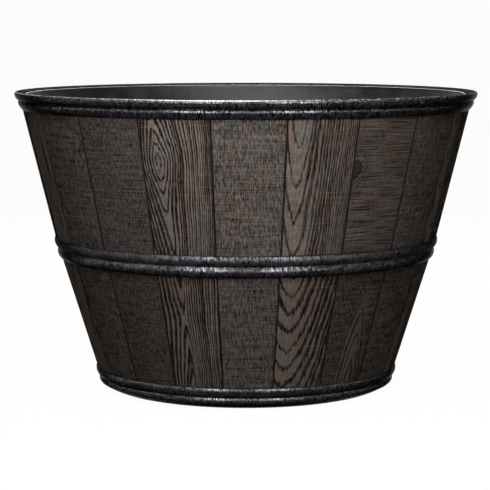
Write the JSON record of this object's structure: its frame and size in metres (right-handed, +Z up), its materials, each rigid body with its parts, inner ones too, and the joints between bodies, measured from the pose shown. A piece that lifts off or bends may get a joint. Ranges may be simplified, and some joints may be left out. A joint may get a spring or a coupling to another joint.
{
  "type": "barrel planter",
  "caption": "Half-barrel floor planter: tapered wooden staves held by double-bead black hoops, a boarded bottom with a drain, and a drop-in black liner that lifts out.",
  "frame": {"origin": "middle of the foot ring on the ground", "axes": "+Z up along the barrel's axis; the front faces -Y"},
  "size_m": [0.5199, 0.52, 0.335],
  "materials": {
    "stave_wood": "dark stained rough-sawn wood with raised grain",
    "head_wood": "plain unfinished wood",
    "hoop_metal": "hammered black paint, semi-gloss",
    "liner_plastic": "smooth satin black"
  },
  "bodies": {
    "barrel": {"stave_01": "stave_wood", "stave_02": "stave_wood", "stave_03": "stave_wood", "stave_04": "stave_wood", "stave_05": "stave_wood", "stave_06": "stave_wood", "stave_07": "stave_wood", "stave_08": "stave_wood", "stave_09": "stave_wood", "stave_10": "stave_wood", "stave_11": "stave_wood", "stave_12": "stave_wood", "stave_13": "stave_wood", "stave_14": "stave_wood", "stave_15": "stave_wood", "stave_16": "stave_wood", "stave_17": "stave_wood", "stave_18": "stave_wood", "stave_19": "stave_wood", "stave_20": "stave_wood", "rim_hoop": "hoop_metal", "middle_hoop": "hoop_metal", "foot_hoop": "hoop_metal", "head_board_1": "head_wood", "head_board_2": "head_wood", "head_board_3": "head_wood", "head_board_4": "head_wood", "head_board_5": "head_wood", "head_dowels": "head_wood"},
    "liner": {"liner": "liner_plastic"}
  },
  "joints": [
    {"name": "liner_lift", "type": "slide", "parent": "barrel", "child": "liner", "axis": [0, 0, 1], "range_m": [0, 0.32]}
  ]
}
